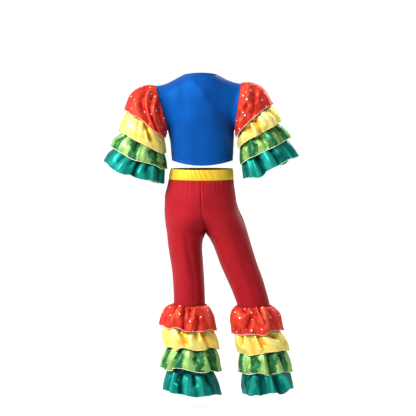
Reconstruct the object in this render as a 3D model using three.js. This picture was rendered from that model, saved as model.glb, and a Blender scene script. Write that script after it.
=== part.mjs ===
// A child's rumba dance costume: a cropped top whose sleeves carry four gathered ruffles each, and
// trousers with an elastic waistband and four gathered ruffles on each leg. It keeps the hollow form
// that it has when it is worn, with the arms held out and down and the legs apart.
//
// Millimetres, +Z up. The front faces -Y and the wearer's left is +X. The origin is between the
// shoulder tips, where the top hangs from the shoulders.

import * as THREE from 'three';

// ---------------------------------------------------------------- driving dimensions

const WALL = 2;              // cloth wall of panels and ruffles
const BAND_WALL = 3;         // doubled casing with its elastic
const SEAM_GAP = 0.3;        // between two pieces that are sewn together
const HALF_GAP = SEAM_GAP / 2;
const ARMHOLE_SHIFT = 1.1;   // keeps the seam gap where the sleeve's edge leans
const ARMPIT_GROW = 2.6;     // the top ruffle's seam ring lies lower than the sleeve's there
const TUBE_STEPS = 32;       // points round a sleeve

const LEFT = 1;
const RIGHT = -1;
const BACK = 1;
const FRONT = -1;

// Top. Widths go from the middle of the body to the side, depths from the side seam.
const TOP = {
  hemZ: -250, armpitZ: -142, neckZ: 36,
  hemHalfWidth: { left: 99, right: 105 },
  ribHalfWidth: { left: 103, right: 107 },
  neckReach: 0.385,          // share of the shoulder width that the neck takes
  neckColumns: 8, shoulderColumns: 5, lowerBands: 2, upperBands: 6, roundness: 2.3,
  edgeReach: 3,              // the higher, the nearer to the side the armhole's edge is felt
};
const TOP_FACE = {
  back: { side: BACK, hemDepth: 68, chestDepth: 77, hemDrop: 17, neckDepth: 44, neckDrop: -3, arch: 0.75 },
  front: { side: FRONT, hemDepth: 72, chestDepth: 82, hemDrop: 12, neckDepth: 52, neckDrop: 58, arch: 0.85 },
};

// A ring is set by its outer and inner point, seen from the front, and by its half depth.
const ARMHOLE = {
  left: { outX: 152, outZ: -4, inX: 110, inZ: -142, depth: 54 },
  right: { outX: 131, outZ: 4, inX: 109, inZ: -142, depth: 54 },
};

// Sleeves: stations down the sleeve proper, from the armhole to its end.
const SLEEVE = {
  left: [
    { outX: 203, outZ: -77, inX: 128, inZ: -163, depth: 55 },
    { outX: 229, outZ: -124, inX: 135, inZ: -192, depth: 55 },
    { outX: 258, outZ: -190, inX: 154, inZ: -244, depth: 54 },
  ],
  right: [
    { outX: 187, outZ: -58, inX: 128, inZ: -156, depth: 55 },
    { outX: 216, outZ: -98, inX: 140, inZ: -184, depth: 55 },
    { outX: 254, outZ: -157, inX: 164, inZ: -232, depth: 54 },
  ],
};

// Trousers: sections from the waist down. inner is the middle seam above the crotch and the
// inseam below it. close is 0 where both legs share one ring and 1 where each leg is a ring.
const TROUSERS = {
  left: [
    { z: -313.6, outer: 108, inner: 2, back: 75, front: 72, close: 0, gather: 1 },
    { z: -340, outer: 114, inner: 2, back: 82, front: 74, close: 0, gather: 0.7 },
    { z: -375, outer: 120, inner: 1, back: 89, front: 76, close: 0, gather: 0.2 },
    { z: -415, outer: 124, inner: 0, back: 93, front: 77, close: 0.06, gather: 0 },
    { z: -450, outer: 122, inner: -4, back: 91, front: 76, close: 0.36, gather: 0 },
    { z: -475, outer: 119, inner: -9, back: 86, front: 74, close: 0.72, gather: 0 },
    { z: -491, outer: 116, inner: -13, back: 80, front: 71, close: 1, gather: 0 },
    { z: -515, outer: 113, inner: -5, back: 75, front: 68, close: 1, gather: 0 },
    { z: -600, outer: 101, inner: -5, back: 65, front: 61, close: 1, gather: 0 },
    { z: -731, outer: 92.5, inner: -11.5, back: 55, front: 53, close: 1, gather: 0 },
    { z: -790, outer: 92, inner: -13, back: 53, front: 53, close: 1, gather: 0 },
    { z: -945, outer: 87, inner: -21, back: 54, front: 54, close: 1, gather: 0 },
  ],
  right: [
    { z: -313.6, outer: 106, inner: -2, back: 75, front: 72, close: 0, gather: 1 },
    { z: -340, outer: 109, inner: -2, back: 82, front: 74, close: 0, gather: 0.7 },
    { z: -375, outer: 114, inner: -1, back: 89, front: 76, close: 0, gather: 0.2 },
    { z: -415, outer: 123, inner: 0, back: 93, front: 77, close: 0.06, gather: 0 },
    { z: -450, outer: 138, inner: 4, back: 91, front: 76, close: 0.36, gather: 0 },
    { z: -475, outer: 148, inner: 9, back: 86, front: 74, close: 0.72, gather: 0 },
    { z: -491, outer: 154, inner: 13, back: 80, front: 71, close: 1, gather: 0 },
    { z: -515, outer: 161, inner: 29, back: 75, front: 68, close: 1, gather: 0 },
    { z: -600, outer: 187, inner: 64, back: 65, front: 61, close: 1, gather: 0 },
    { z: -731, outer: 228.5, inner: 118.5, back: 55, front: 53, close: 1, gather: 0 },
    { z: -790, outer: 243, inner: 135, back: 53, front: 53, close: 1, gather: 0 },
    { z: -945, outer: 267, inner: 159, back: 54, front: 54, close: 1, gather: 0 },
  ],
};
const CROTCH_ROW = 6;        // the lowest row, counted from 0, where the two legs still meet
const PANEL_COLUMNS = 10;
const GATHER_HEIGHT = 2;     // soft gathers under the waistband

// Waistband.
const BAND = {
  topZ: -278, bottomZ: -313, droop: 3, gathers: 36, gatherHeight: 1.1, slant: 0.08,
  top: { left: 101, right: 104, back: 70, front: 69 },
  bottom: { left: 108, right: 106, back: 75, front: 72 },
};

// Ruffles. seam is where the ruffle is sewn on, as a share of the way down the piece that carries it.
// The hem ring is set as the rings above are. A top ruffle has two puff rings of its own. The others
// run under the hem of the ruffle above them and then bulge.
// Such a ring's waving is its share of the wave height, and tuck is how far inside the wave troughs of
// the ruffle above it runs.
const TIER = {
  stepsPerWave: 6, sway: 0.15, unevenness: 0.18, hemSway: 3,
  puffWaving: [0.3, 0.6], underWaving: 0.2, bulgeWaving: 0.65, bulgePlace: 0.55,
};
const INNER_SHARE = { sleeve: 0.25, leg: 0.8 };   // of the wave, on the side near the body
const SLEEVE_TIERS = {
  left: [
    {
      colour: 'red', seam: 0, waves: 7, waveHeight: 6, phase: 0.4,
      puffs: [
        { outX: 187, outZ: -3, inX: 114, inZ: -152, depth: 72 },
        { outX: 232, outZ: -30, inX: 116, inZ: -164, depth: 84 },
      ],
      hem: { outX: 252, outZ: -82, inX: 119, inZ: -176, depth: 84 },
    },
    {
      colour: 'yellow', seam: 0.33, waves: 7, waveHeight: 7, phase: 1.9, bulge: 7, tuck: 6,
      hem: { outX: 274, outZ: -152, inX: 118, inZ: -227, depth: 86 },
    },
    {
      colour: 'green', seam: 0.62, waves: 7, waveHeight: 8, phase: 3.1, bulge: 8, tuck: 6,
      hem: { outX: 300, outZ: -202, inX: 116, inZ: -280, depth: 92 },
    },
    {
      colour: 'teal', seam: 0.95, waves: 7, waveHeight: 8, phase: 5.2, bulge: 6, tuck: 6,
      hem: { outX: 324, outZ: -252, inX: 123, inZ: -328, depth: 96 },
    },
  ],
  right: [
    {
      colour: 'red', seam: 0, waves: 7, waveHeight: 6, phase: 2.2,
      puffs: [
        { outX: 163, outZ: 9, inX: 112, inZ: -152, depth: 72 },
        { outX: 208, outZ: -15, inX: 114, inZ: -164, depth: 84 },
      ],
      hem: { outX: 234, outZ: -60, inX: 117, inZ: -176, depth: 84 },
    },
    {
      colour: 'yellow', seam: 0.33, waves: 7, waveHeight: 7, phase: 0.9, bulge: 9, tuck: 6,
      hem: { outX: 260, outZ: -120, inX: 122, inZ: -213, depth: 86 },
    },
    {
      colour: 'green', seam: 0.62, waves: 7, waveHeight: 8, phase: 4.4, bulge: 7, tuck: 6,
      hem: { outX: 289, outZ: -168, inX: 129, inZ: -265, depth: 90 },
    },
    {
      colour: 'teal', seam: 0.95, waves: 7, waveHeight: 8, phase: 2.9, bulge: 4, tuck: 6,
      hem: { outX: 320, outZ: -226, inX: 141, inZ: -312, depth: 94 },
    },
  ],
};
const LEG_TIERS = {
  left: [
    {
      colour: 'red', seamZ: -734, waves: 8, waveHeight: 6, phase: 0.7,
      puffs: [
        { outX: 108, outZ: -738, inX: -23, inZ: -741, depth: 68 },
        { outX: 130, outZ: -763, inX: -39, inZ: -771, depth: 86 },
      ],
      hem: { outX: 140, outZ: -803, inX: -49, inZ: -822, depth: 94 },
    },
    {
      colour: 'yellow', seamZ: -785, waves: 8, waveHeight: 6, phase: 2.6, bulge: 7, tuck: 6,
      hem: { outX: 124, outZ: -874, inX: -58, inZ: -883, depth: 91 },
    },
    {
      colour: 'green', seamZ: -855, waves: 8, waveHeight: 8, phase: 4.1, bulge: 3, tuck: 6,
      hem: { outX: 137, outZ: -942, inX: -66, inZ: -959, depth: 100 },
    },
    {
      colour: 'teal', seamZ: -935, waves: 8, waveHeight: 7, phase: 5.6, bulge: 6, tuck: 24,
      hem: { outX: 128, outZ: -1024, inX: -64, inZ: -1040, depth: 95 },
    },
  ],
  right: [
    {
      colour: 'red', seamZ: -738, waves: 8, waveHeight: 6, phase: 1.3,
      puffs: [
        { outX: 240, outZ: -742, inX: 110, inZ: -745, depth: 68 },
        { outX: 261, outZ: -767, inX: 98, inZ: -771, depth: 84 },
      ],
      hem: { outX: 274, outZ: -822, inX: 104, inZ: -832, depth: 87 },
    },
    {
      colour: 'yellow', seamZ: -795, waves: 8, waveHeight: 6, phase: 3.3, bulge: 7, tuck: 6,
      hem: { outX: 294, outZ: -886, inX: 121, inZ: -894, depth: 87 },
    },
    {
      colour: 'green', seamZ: -865, waves: 8, waveHeight: 7, phase: 0.2, bulge: 4, tuck: 6,
      hem: { outX: 303, outZ: -953, inX: 126, inZ: -968, depth: 90 },
    },
    {
      colour: 'teal', seamZ: -938, waves: 8, waveHeight: 7, phase: 4.8, bulge: 4, tuck: 7,
      hem: { outX: 308, outZ: -1020, inX: 141, inZ: -1037, depth: 86 },
    },
  ],
};

// Cloths.
const CLOTH = {
  blue: { color: 0x1558b0, roughness: 0.45 },
  trouserRed: { color: 0xbf2a33, roughness: 0.6 },
  bandYellow: { color: 0xf3d748, roughness: 0.6 },
  red: { color: 0xdd3a30, roughness: 0.4 },
  yellow: { color: 0xf0dc78, roughness: 0.4 },
  green: { color: 0x7fae5c, roughness: 0.4 },
  teal: { color: 0x17877a, roughness: 0.4 },
};

// ---------------------------------------------------------------- small helpers

const mix = (a, b, share) => a + (b - a) * share;

// Mixes every number of two rows that have the same columns.
function mixRows(a, b, share) {
  const row = {};
  for (const column of Object.keys(a)) row[column] = mix(a[column], b[column], share);
  return row;
}

// Point of a ring at an angle: 0 is its outer point and 180 degrees its inner one.
function ringPoint(ring, angle, grow = 0) {
  const middleX = (ring.outX + ring.inX) / 2;
  const middleZ = (ring.outZ + ring.inZ) / 2;
  const halfX = (ring.outX - ring.inX) / 2;
  const halfZ = (ring.outZ - ring.inZ) / 2;
  const stretch = 1 + grow / Math.hypot(halfX, halfZ);
  return new THREE.Vector3(
    middleX + halfX * stretch * Math.cos(angle),
    (ring.depth + grow) * Math.sin(angle),
    middleZ + halfZ * stretch * Math.cos(angle),
  );
}

// Direction in which a ring's tube runs on, down and away from the ring's plane.
function ringAxis(ring) {
  const axis = new THREE.Vector3(ring.outZ - ring.inZ, 0, ring.inX - ring.outX);
  return axis.normalize();
}

// ---------------------------------------------------------------- cloth walls

// Normals of a grid of points, by differences between neighbours.
function gridNormals(rows, closed) {
  const last = rows.length - 1;
  return rows.map((row, r) => row.map((point, c) => {
    const count = row.length;
    const before = closed ? (c + count - 1) % count : Math.max(c - 1, 0);
    const after = closed ? (c + 1) % count : Math.min(c + 1, count - 1);
    const across = row[after].clone().sub(row[before]);
    const down = rows[Math.min(r + 1, last)][c].clone().sub(rows[Math.max(r - 1, 0)][c]);
    return across.cross(down).normalize();
  }));
}

// Turns a grid of points, the middle of the cloth, into a closed wall. A closed grid is a tube.
// keep moves a wall point back inside the piece's own side of its seams.
function clothWall(rows, { wall = WALL, closed = false, keep = (point) => point }) {
  const normals = gridNormals(rows, closed);
  const columns = rows[0].length;
  const count = rows.length * columns;
  const positions = [];
  for (const face of [0.5, -0.5]) {
    rows.forEach((row, r) => row.forEach((point, c) => {
      const moved = point.clone().addScaledVector(normals[r][c], wall * face);
      positions.push(...keep(moved, r, c).toArray());
    }));
  }
  const at = (r, c, face) => face * count + r * columns + (c % columns);
  const triangles = [];
  const quad = (a, b, c, d) => triangles.push(a, b, c, a, c, d);
  const lastRow = rows.length - 1;
  const bands = closed ? columns : columns - 1;
  for (let c = 0; c < bands; c += 1) {
    for (let r = 0; r < lastRow; r += 1) {
      quad(at(r, c, 0), at(r, c + 1, 0), at(r + 1, c + 1, 0), at(r + 1, c, 0));
      quad(at(r, c, 1), at(r + 1, c, 1), at(r + 1, c + 1, 1), at(r, c + 1, 1));
    }
    quad(at(0, c, 0), at(0, c, 1), at(0, c + 1, 1), at(0, c + 1, 0));
    quad(at(lastRow, c, 0), at(lastRow, c + 1, 0), at(lastRow, c + 1, 1), at(lastRow, c, 1));
  }
  if (!closed) {
    const end = columns - 1;
    for (let r = 0; r < lastRow; r += 1) {
      quad(at(r, 0, 0), at(r + 1, 0, 0), at(r + 1, 0, 1), at(r, 0, 1));
      quad(at(r, end, 0), at(r, end, 1), at(r + 1, end, 1), at(r + 1, end, 0));
    }
  }
  const geometry = new THREE.BufferGeometry();
  geometry.setAttribute('position', new THREE.Float32BufferAttribute(positions, 3));
  geometry.setIndex(facesOut(positions, triangles));
  geometry.computeVertexNormals();
  return geometry;
}

// Turns the triangles round if the volume that they enclose comes out negative.
function facesOut(positions, triangles) {
  const corner = (i) => new THREE.Vector3().fromArray(positions, 3 * i);
  let volume = 0;
  for (let t = 0; t < triangles.length; t += 3) {
    const [a, b, c] = [0, 1, 2].map((k) => corner(triangles[t + k]));
    volume += a.dot(b.cross(c));
  }
  if (volume > 0) return triangles;
  const turned = [];
  for (let t = 0; t < triangles.length; t += 3) {
    turned.push(triangles[t], triangles[t + 2], triangles[t + 1]);
  }
  return turned;
}

function piece(name, geometry, cloth) {
  const material = new THREE.MeshStandardMaterial({ ...CLOTH[cloth], metalness: 0 });
  const mesh = new THREE.Mesh(geometry, material);
  mesh.name = name;
  return mesh;
}

// ---------------------------------------------------------------- top

// Armhole edge at a rise from 0, the armpit, to 90 degrees, the shoulder tip.
function armholeEdge(sideName, rise, face) {
  const point = ringPoint(ARMHOLE[sideName], Math.PI - 2 * rise);
  point.y = Math.abs(point.y) * face.side;
  return point;
}

// The columns of a top panel, from -1, the right edge, to 1, the left one. They are closer together
// where the neck turns and near the sides.
function topColumns() {
  const neckTurn = Math.asin(TOP.neckReach);
  const shoulder = [];
  for (let c = 1; c <= TOP.shoulderColumns; c += 1) {
    shoulder.push(Math.sin(mix(neckTurn, Math.PI / 2, c / TOP.shoulderColumns)));
  }
  const neck = [];
  for (let c = 0; c <= TOP.neckColumns; c += 1) {
    neck.push(TOP.neckReach * Math.sin((c / TOP.neckColumns - 0.5) * Math.PI));
  }
  return [...shoulder.map((share) => -share).reverse(), ...neck, ...shoulder];
}

// A point of a top panel, at a share of the way from the middle to a side.
function topPoint(face, share, row) {
  const reach = Math.min(Math.abs(share), 1);
  const sideName = share < 0 ? 'right' : 'left';
  const sign = share < 0 ? RIGHT : LEFT;
  const round = (1 - reach ** TOP.roundness) ** (1 / TOP.roundness);
  const hemZ = TOP.hemZ - face.hemDrop * (1 - share * share);
  if (row <= TOP.lowerBands) {
    const up = row / TOP.lowerBands;
    const widths = [TOP.hemHalfWidth[sideName], TOP.ribHalfWidth[sideName], ARMHOLE[sideName].inX];
    const depth = mix(face.hemDepth, face.chestDepth, up);
    return new THREE.Vector3(
      sign * reach * widths[row],
      face.side * depth * round,
      mix(hemZ, TOP.armpitZ, up),
    );
  }
  const rise = ((row - TOP.lowerBands) / TOP.upperBands) * (Math.PI / 2);
  const edge = armholeEdge(sideName, rise, face);
  const inNeck = reach < TOP.neckReach;
  const neckRound = inNeck ? Math.sqrt(1 - (reach / TOP.neckReach) ** 2) : 0;
  const slope = inNeck ? 0 : (reach - TOP.neckReach) / (1 - TOP.neckReach);
  const topY = face.neckDepth * neckRound;
  const topZ = mix(TOP.neckZ - face.neckDrop * neckRound, ARMHOLE[sideName].outZ, slope);
  const bodyY = topY + (face.chestDepth * round - topY) * Math.cos(rise) ** face.arch;
  const bodyZ = mix(TOP.armpitZ, topZ, Math.sin(rise));
  const edgeShare = reach ** TOP.edgeReach;
  return new THREE.Vector3(
    sign * reach * edge.x,
    mix(face.side * bodyY, edge.y, edgeShare),
    mix(bodyZ, edge.z, edgeShare),
  );
}

function topPanel(faceName) {
  const face = TOP_FACE[faceName];
  const rows = [];
  for (let row = 0; row <= TOP.lowerBands + TOP.upperBands; row += 1) {
    rows.push(topColumns().map((share) => topPoint(face, share, row)));
  }
  const keep = (point) => {
    const depth = Math.max(point.y * face.side, HALF_GAP);
    return new THREE.Vector3(point.x, depth * face.side, point.z);
  };
  return piece(`top_${faceName}`, clothWall(rows, { keep }), 'blue');
}

// ---------------------------------------------------------------- rings of a carrying tube

// How near an angle of the armhole is to the armpit, from 0 at the shoulder tip to 1.
const lowness = (angle) => ((1 - Math.cos(angle)) / 2) ** 3;

// Moves a ring's points off the armhole. The shift grows towards the armpit, where the tube turns
// down beside the body.
function armholeShift(ring, angle, atArmpit) {
  return ringAxis(ring).multiplyScalar(mix(ARMHOLE_SHIFT, atArmpit, lowness(angle)));
}

function mirrored(points, side) {
  return points.map((point) => new THREE.Vector3(point.x * side, point.y, point.z));
}

function sleeveTube(sideName, side) {
  const stations = [ARMHOLE[sideName], ...SLEEVE[sideName]];
  const rows = stations.map((ring, r) => {
    const points = [];
    for (let s = 0; s < TUBE_STEPS; s += 1) {
      const angle = (s / TUBE_STEPS) * 2 * Math.PI;
      const point = ringPoint(ring, angle);
      if (r === 0) point.add(armholeShift(ring, angle, WALL + SEAM_GAP));
      points.push(point);
    }
    return mirrored(points, side);
  });
  return piece(`sleeve_${sideName}`, clothWall(rows, { closed: true }), 'blue');
}

// Ring of the sleeve at a share of the way down it.
function sleeveRing(sideName, share) {
  const stations = [ARMHOLE[sideName], ...SLEEVE[sideName]];
  const place = share * (stations.length - 1);
  const first = Math.min(Math.floor(place), stations.length - 2);
  return mixRows(stations[first], stations[first + 1], place - first);
}

// Ring of a trouser leg at a height below the crotch.
function legRing(sideName, z) {
  const rows = TROUSERS[sideName];
  const next = rows.findIndex((row) => row.z <= z);
  const above = rows[next - 1];
  const row = mixRows(above, rows[next], (above.z - z) / (above.z - rows[next].z));
  return { outX: row.outer, outZ: z, inX: row.inner, inZ: z, depth: Math.max(row.back, row.front) };
}

// ---------------------------------------------------------------- ruffles

// Half size of a ring seen from the front.
const reachOf = (ring) => Math.hypot(ring.outX - ring.inX, ring.outZ - ring.inZ) / 2;

// Moves a ring's outer and inner point towards each other, and takes its depth in.
function tucked(ring, outerTuck, innerTuck) {
  const length = 2 * reachOf(ring);
  const stepX = (ring.inX - ring.outX) / length;
  const stepZ = (ring.inZ - ring.outZ) / length;
  return {
    outX: ring.outX + stepX * outerTuck,
    outZ: ring.outZ + stepZ * outerTuck,
    inX: ring.inX - stepX * innerTuck,
    inZ: ring.inZ - stepZ * innerTuck,
    depth: ring.depth - outerTuck,
  };
}

// The four rings of a ruffle, from its seam to its hem, each with its share of the wave height.
function tierRings(tier, seamRing, above, innerShare) {
  const seam = { ring: tucked(seamRing, -WALL - SEAM_GAP, -WALL - SEAM_GAP), waving: 0 };
  const hem = { ring: tier.hem, waving: 1 };
  if (tier.puffs) {
    const puffs = tier.puffs.map((ring, k) => ({ ring, waving: TIER.puffWaving[k] }));
    return [seam, ...puffs, hem];
  }
  const outerTuck = above.waveHeight + tier.tuck;
  const innerTuck = above.waveHeight * innerShare + tier.tuck;
  const under = tucked(above.hem, outerTuck, innerTuck);
  const halfway = mixRows(under, tier.hem, TIER.bulgePlace);
  const bulge = tucked(halfway, -tier.bulge, -tier.bulge * innerShare);
  return [
    seam,
    { ring: under, waving: TIER.underWaving },
    { ring: bulge, waving: TIER.bulgeWaving },
    hem,
  ];
}

// The angle at which a turn of the strip lies on the ring, and the wave there. Waves are wider and
// higher in some places than in others.
const turnAngle = (tier, turn) => turn + TIER.sway * Math.sin(2 * turn + tier.phase);
const waveAt = (tier, turn) => {
  const swell = 1 - TIER.unevenness * (1 - Math.sin(3 * turn + 2 * tier.phase));
  return swell * Math.cos(tier.waves * turn + tier.phase);
};

// innerShare is how much of the wave is left on the ring's inner side, where the body is close.
function tierWall(tier, rings, side, innerShare, atArmhole) {
  const steps = tier.waves * TIER.stepsPerWave;
  const rows = rings.map(({ ring, waving }, r) => {
    const axis = ringAxis(ring);
    const points = [];
    for (let s = 0; s < steps; s += 1) {
      const turn = (s / steps) * 2 * Math.PI;
      const angle = turnAngle(tier, turn);
      const room = mix(innerShare, 1, (1 + Math.cos(angle)) / 2);
      const wave = waveAt(tier, turn) * waving * room;
      const low = r === 0 && atArmhole ? lowness(angle) * ARMPIT_GROW : 0;
      const point = ringPoint(ring, angle, wave * tier.waveHeight + low);
      if (waving === 1) point.addScaledVector(axis, wave * TIER.hemSway);
      if (r === 0 && atArmhole) point.add(armholeShift(ring, angle, 2 * WALL));
      points.push(point);
    }
    return mirrored(points, side);
  });
  return clothWall(rows, { closed: true });
}

function sleeveTiers(sideName, side) {
  const innerShare = INNER_SHARE.sleeve;
  return SLEEVE_TIERS[sideName].map((tier, k, tiers) => {
    const seamRing = sleeveRing(sideName, tier.seam);
    const rings = tierRings(tier, seamRing, tiers[k - 1], innerShare);
    const geometry = tierWall(tier, rings, side, innerShare, k === 0);
    return piece(`sleeve_${sideName}_tier_${k + 1}_${tier.colour}`, geometry, tier.colour);
  });
}

function legTiers(sideName, side) {
  const innerShare = INNER_SHARE.leg;
  return LEG_TIERS[sideName].map((tier, k, tiers) => {
    const seamRing = legRing(sideName, tier.seamZ);
    const rings = tierRings(tier, seamRing, tiers[k - 1], innerShare);
    const geometry = tierWall(tier, rings, side, innerShare, false);
    return piece(`leg_${sideName}_tier_${k + 1}_${tier.colour}`, geometry, tier.colour);
  });
}

// ---------------------------------------------------------------- trousers

// A point of a trouser panel: turn runs from 0, the side seam, to 1, the middle seam or inseam.
function trouserPoint(row, faceName, turn, column) {
  const faceSide = faceName === 'back' ? BACK : FRONT;
  const endAngle = (Math.PI / 2) * (1 + row.close);
  const radius = (row.outer - row.inner) / (1 - Math.cos(endAngle));
  const gathered = (column % 2 === 0 ? -0.5 : 0.5) * GATHER_HEIGHT * row.gather;
  const inside = column > 0 && column < PANEL_COLUMNS ? gathered : 0;
  const angle = turn * endAngle;
  const droop = faceName === 'back' ? BAND.droop * row.gather * Math.sin(angle) : 0;
  return new THREE.Vector3(
    row.outer - radius + (radius + inside) * Math.cos(angle),
    faceSide * (row[faceName] + inside) * Math.sin(angle),
    row.z - droop,
  );
}

function trouserPanel(sideName, side, faceName) {
  const table = TROUSERS[sideName];
  const faceSide = faceName === 'back' ? BACK : FRONT;
  const rows = table.map((row) => {
    const points = [];
    for (let c = 0; c <= PANEL_COLUMNS; c += 1) {
      points.push(trouserPoint(row, faceName, c / PANEL_COLUMNS, c));
    }
    return mirrored(points, side);
  });
  const keep = (point, r) => {
    const depth = Math.max(point.y * faceSide, HALF_GAP) * faceSide;
    const width = Math.max(point.x * side, table[r].inner + HALF_GAP) * side;
    return new THREE.Vector3(r > CROTCH_ROW ? point.x : width, depth, point.z);
  };
  return piece(`trousers_${sideName}_${faceName}`, clothWall(rows, { keep }), 'trouserRed');
}

// ---------------------------------------------------------------- waistband

function bandPoint(section, z, turn, gathered) {
  const halfWidth = Math.cos(turn) > 0 ? section.left : section.right;
  const depth = Math.sin(turn) > 0 ? section.back : section.front;
  return new THREE.Vector3(
    (halfWidth + gathered) * Math.cos(turn),
    (depth + gathered) * Math.sin(turn),
    z - BAND.droop * Math.max(Math.sin(turn), 0),
  );
}

function waistband() {
  const steps = BAND.gathers * 2;
  const sections = [
    { section: BAND.top, z: BAND.topZ, slant: BAND.slant },
    { section: BAND.bottom, z: BAND.bottomZ, slant: 0 },
  ];
  const rows = sections.map(({ section, z, slant }) => {
    const points = [];
    for (let s = 0; s < steps; s += 1) {
      const gathered = (s % 2 === 0 ? -0.5 : 0.5) * BAND.gatherHeight;
      points.push(bandPoint(section, z, (s / steps) * 2 * Math.PI + slant, gathered));
    }
    return points;
  });
  return piece('waistband', clothWall(rows, { wall: BAND_WALL, closed: true }), 'bandYellow');
}

// ---------------------------------------------------------------- the costume

const costume = new THREE.Group();
const top = new THREE.Group();
const trousers = new THREE.Group();
top.add(topPanel('back'), topPanel('front'));
trousers.add(waistband());
for (const [sideName, side] of [['left', LEFT], ['right', RIGHT]]) {
  top.add(sleeveTube(sideName, side), ...sleeveTiers(sideName, side));
  trousers.add(trouserPanel(sideName, side, 'back'), trouserPanel(sideName, side, 'front'));
  trousers.add(...legTiers(sideName, side));
}
costume.add(top, trousers);

export default costume;
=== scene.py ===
"""The rumba dance costume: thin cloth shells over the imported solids, with folds, edges and finishes.

Shapes are worked out in millimetres in the frame's own axes (+Z up, front to -Y, the wearer's left
to +X) and become metres when a mesh is made.
"""

import math

import bpy
import numpy as np
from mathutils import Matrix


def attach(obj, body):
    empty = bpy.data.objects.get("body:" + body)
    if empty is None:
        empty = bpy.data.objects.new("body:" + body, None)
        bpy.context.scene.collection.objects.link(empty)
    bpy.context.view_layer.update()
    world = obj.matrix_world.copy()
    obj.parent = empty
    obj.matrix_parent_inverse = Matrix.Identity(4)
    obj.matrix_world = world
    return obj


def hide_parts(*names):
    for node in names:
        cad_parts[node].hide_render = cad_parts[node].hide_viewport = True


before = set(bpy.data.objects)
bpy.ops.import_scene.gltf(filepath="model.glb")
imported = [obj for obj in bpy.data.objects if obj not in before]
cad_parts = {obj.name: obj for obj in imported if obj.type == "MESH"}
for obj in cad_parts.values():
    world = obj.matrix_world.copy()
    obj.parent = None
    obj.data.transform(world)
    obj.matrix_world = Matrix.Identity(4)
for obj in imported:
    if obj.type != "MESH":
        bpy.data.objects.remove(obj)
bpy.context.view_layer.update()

MM = 0.001
TAU = 2 * math.pi
SIDES = dict(left=1, right=-1)       # the sign of x
BACK, FRONT = 1, -1                  # the sign of y

# ---------------- sizes, as the solids have them

CLOTH = 0.9                  # thickness of one cloth
BAND_CLOTH = 2.4             # waistband with its elastic
WALL, SEAM_GAP = 2.0, 0.3    # the solids' wall and the gap at their seams
MIDDLE_ROOM = 0.1            # back and front panels keep so far from the plane between them
EDGE_RADIUS = 0.95           # rolled and overlocked edge of a ruffle

TOP = dict(hem_z=-250, armpit_z=-142, neck_z=36, neck_reach=0.385, roundness=2.3)
TOP_HALF_WIDTHS = dict(left=(99, 103, 110), right=(105, 107, 109))
TOP_FACE = dict(
    back=dict(side=BACK, hem_depth=68, chest_depth=77, hem_drop=17, neck_depth=44, neck_drop=-3, arch=0.75,
              cut_share=0.75),
    front=dict(side=FRONT, hem_depth=72, chest_depth=82, hem_drop=12, neck_depth=52, neck_drop=58, arch=0.85,
               cut_share=0.64),
)


def ring(out_x, out_z, in_x, in_z, depth):
    """A ring of a tube: its outer and inner point, seen from the front, and its half depth."""
    return np.array([out_x, out_z, in_x, in_z, depth], float)


ARMHOLE = dict(left=ring(152, -4, 110, -142, 54), right=ring(131, 4, 109, -142, 54))
SLEEVE = dict(
    left=[ring(203, -77, 128, -163, 55), ring(229, -124, 135, -192, 55), ring(258, -190, 154, -244, 54)],
    right=[ring(187, -58, 128, -156, 55), ring(216, -98, 140, -184, 55), ring(254, -157, 164, -232, 54)],
)

# z, back, front, close, gather: both legs have the same depths. close goes from 0, open to the other
# leg, to 1, a closed tube; gather is the waistband's pull.
TROUSER_DEPTHS = np.array([
    [-313.6, 75, 72, 0, 1], [-340, 82, 74, 0, 0.7], [-375, 89, 76, 0, 0.2], [-415, 93, 77, 0.06, 0],
    [-450, 91, 76, 0.36, 0], [-475, 86, 74, 0.72, 0], [-491, 80, 71, 1, 0], [-515, 75, 68, 1, 0],
    [-600, 65, 61, 1, 0], [-731, 55, 53, 1, 0], [-790, 53, 53, 1, 0], [-945, 54, 54, 1, 0],
])
# outer, inner: the reach of each leg's sides from the middle, at the same heights
TROUSER_SIDES = dict(
    left=[[108, 2], [114, 2], [120, 1], [124, 0], [122, -4], [119, -9], [116, -13], [113, -5],
          [101, -5], [92.5, -11.5], [92, -13], [87, -21]],
    right=[[106, -2], [109, -2], [114, -1], [123, 0], [138, 4], [148, 9], [154, 13], [161, 29],
           [187, 64], [228.5, 118.5], [243, 135], [267, 159]],
)


def trouser_rows(side_name):
    """z, outer, inner, back, front, close and gather of a leg, a row for each height."""
    sides = np.array(TROUSER_SIDES[side_name], float)
    return np.hstack([TROUSER_DEPTHS[:, :1], sides, TROUSER_DEPTHS[:, 1:]])


BAND = dict(top_z=-278, bottom_z=-313, droop=3)
BAND_TOP = dict(left=101, right=104, back=70, front=69)
BAND_BOTTOM = dict(left=108, right=106, back=75, front=72)


def tier(colour, seam, waves, height, phase, hem, bulge=0, tuck=6, puffs=()):
    """A ruffle: where it is sewn on, its waves, and its rings at the hem and in the puff above it."""
    return dict(colour=colour, seam=seam, waves=waves, height=height, phase=phase, hem=ring(*hem),
                bulge=bulge, tuck=tuck, puffs=[ring(*puff) for puff in puffs])


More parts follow.
